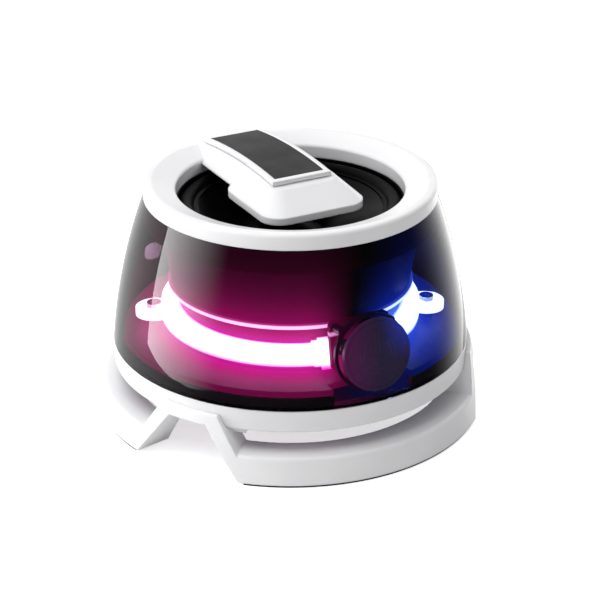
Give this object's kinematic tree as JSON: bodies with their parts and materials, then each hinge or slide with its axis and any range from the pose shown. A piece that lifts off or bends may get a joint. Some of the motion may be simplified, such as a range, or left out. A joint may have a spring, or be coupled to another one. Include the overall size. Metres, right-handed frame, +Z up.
{
  "type": "tabletop light and sound unit",
  "caption": "Round tabletop unit with a smoke-tinted shell over lit light guides, an upward loudspeaker under a bridge, a power button and a raised notched stand.",
  "frame": {"origin": "on the object's upright axis, at the level of the surface it stands on", "axes": "+Z up along the axis, -Y towards the front where the power button is, +X to the right seen from the front"},
  "size_m": [0.0996, 0.0974, 0.0631],
  "materials": {
    "white_plastic": "glossy white moulding",
    "smoke_plastic": "clear smoke-tinted gloss plastic",
    "black_plastic": "gloss black moulding",
    "dark_plastic": "matte dark moulding",
    "inlay_leather": "dark grained inlay",
    "rubber": "soft matte rubber",
    "cone_black": "gloss black pressed cone",
    "guide_left": "milky light guide, lit magenta",
    "guide_right": "milky light guide, lit blue",
    "led_left": "lit magenta LEDs",
    "led_right": "lit blue LEDs",
    "board": "solder-masked board",
    "chip": "moulded chip package",
    "steel": "plated steel",
    "dark_steel": "black coated steel",
    "ferrite": "sintered ferrite",
    "copper": "enamelled copper wire",
    "foil": "cell in silver foil",
    "screw_steel": "small steel screws"
  },
  "bodies": {
    "housing": {"stand": "white_plastic", "foot_pad_front": "rubber", "foot_pad_left": "rubber", "foot_pad_right": "rubber", "base_ring": "white_plastic", "bottom_cover": "dark_plastic", "deck_plate": "black_plastic", "light_guide_left": "guide_left", "light_guide_right": "guide_right", "led_board_left": "board", "led_board_right": "board", "leds_left": "led_left", "leds_right": "led_right", "smoked_shell": "smoke_plastic", "chamber_liner": "black_plastic", "speaker_chamber": "black_plastic", "speaker_basket": "dark_steel", "driver_screws": "screw_steel", "top_plate": "steel", "magnet": "ferrite", "yoke": "steel", "surround": "rubber", "driver_gasket": "rubber", "spider": "rubber", "top_ring": "white_plastic", "bridge_frame": "white_plastic", "grip_inlay": "inlay_leather", "button_bezel": "dark_plastic", "tact_switch": "dark_plastic", "switch_board": "board", "switch_board_screws": "screw_steel", "main_board": "board", "usb_c_socket": "steel", "amplifier_chip": "chip", "radio_module": "steel", "battery": "foil", "battery_strap": "dark_plastic", "stand_screws": "screw_steel", "cover_screws": "screw_steel", "chamber_screws": "screw_steel", "guide_screws": "screw_steel", "main_board_screws": "screw_steel"},
    "button": {"power_button": "dark_plastic", "button_icon": "dark_plastic"},
    "switch_key": {"switch_plunger": "dark_plastic"},
    "diaphragm": {"cone": "cone_black", "dust_cap": "cone_black", "coil_former": "dark_plastic", "voice_coil": "copper"}
  },
  "joints": [
    {"name": "button_press", "type": "slide", "parent": "housing", "child": "button", "axis": [0, 0.9828, -0.1848], "range_m": [0, 0.0003], "stiffness_N_per_m": 400},
    {"name": "switch_press", "type": "slide", "parent": "housing", "child": "switch_key", "axis": [0, 0.9828, -0.1848], "range_m": [0, 0.0003]},
    {"name": "diaphragm_stroke", "type": "slide", "parent": "housing", "child": "diaphragm", "axis": [0, 0, 1], "range_m": [-0.001, 0.001], "stiffness_N_per_m": 1500, "deforming": ["surround", "spider"]}
  ],
  "couplings": [
    {"joint": "switch_press", "follows": "button_press", "ratio": 1}
  ]
}
